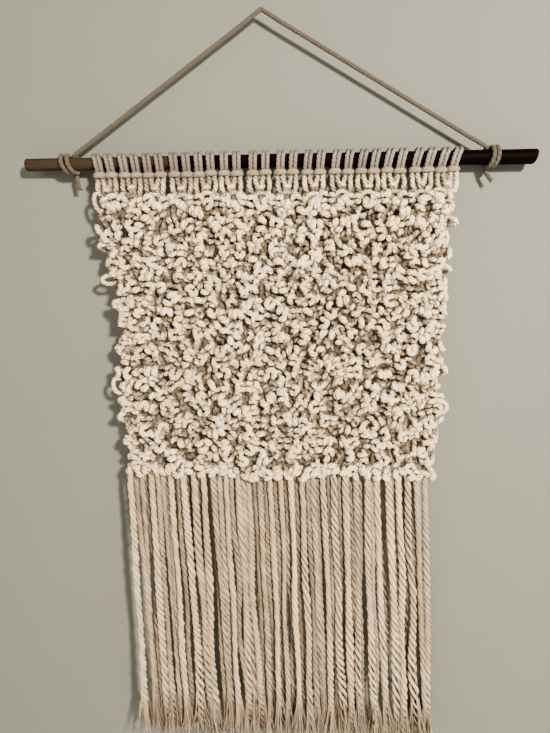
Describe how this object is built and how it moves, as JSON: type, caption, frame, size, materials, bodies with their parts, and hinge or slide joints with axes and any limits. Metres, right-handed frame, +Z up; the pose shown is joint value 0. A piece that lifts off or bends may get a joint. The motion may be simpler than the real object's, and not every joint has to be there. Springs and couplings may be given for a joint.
{
  "type": "macrame wall hanging on a wooden rod",
  "caption": "Knotted cotton net with lark's head knots on a round wooden rod, a long free fringe below and one hanging cord that rests on a wall nail.",
  "frame": {"origin": "the point where the hanging cord rests on the wall's nail", "axes": "+Z up, +Y towards the wall, -Y towards the viewer, +X to the viewer's right along the rod, whose right end is a little lower"},
  "size_m": [0.5022, 0.0375, 0.7582],
  "materials": {
    "dark_wood": "dark stained wood with a soft gloss, raw and pale at the left end",
    "hanging_cotton": "twisted three-strand natural cotton cord, matt",
    "mounted_cotton": "twisted three-strand natural cotton cord, matt",
    "knotted_cotton": "knotted three-strand natural cotton cord, matt and slightly fuzzy",
    "fringe_cotton": "loosely twisted cotton cord, partly unravelled, matt and fuzzy"
  },
  "bodies": {
    "root": {"rod": "dark_wood", "hanging_cord": "hanging_cotton", "knotted_panel": "knotted_cotton", "fringe": "fringe_cotton", "larks_head_01": "mounted_cotton", "larks_head_02": "mounted_cotton", "larks_head_03": "mounted_cotton", "larks_head_04": "mounted_cotton", "larks_head_05": "mounted_cotton", "larks_head_06": "mounted_cotton", "larks_head_07": "mounted_cotton", "larks_head_08": "mounted_cotton", "larks_head_09": "mounted_cotton", "larks_head_10": "mounted_cotton", "larks_head_11": "mounted_cotton", "larks_head_12": "mounted_cotton", "larks_head_13": "mounted_cotton", "larks_head_14": "mounted_cotton", "larks_head_15": "mounted_cotton", "larks_head_16": "mounted_cotton", "larks_head_17": "mounted_cotton", "larks_head_18": "mounted_cotton", "larks_head_19": "mounted_cotton", "larks_head_20": "mounted_cotton", "larks_head_21": "mounted_cotton", "larks_head_22": "mounted_cotton", "larks_head_23": "mounted_cotton", "larks_head_24": "mounted_cotton", "larks_head_25": "mounted_cotton", "larks_head_26": "mounted_cotton", "larks_head_27": "mounted_cotton", "larks_head_28": "mounted_cotton"}
  },
  "joints": []
}
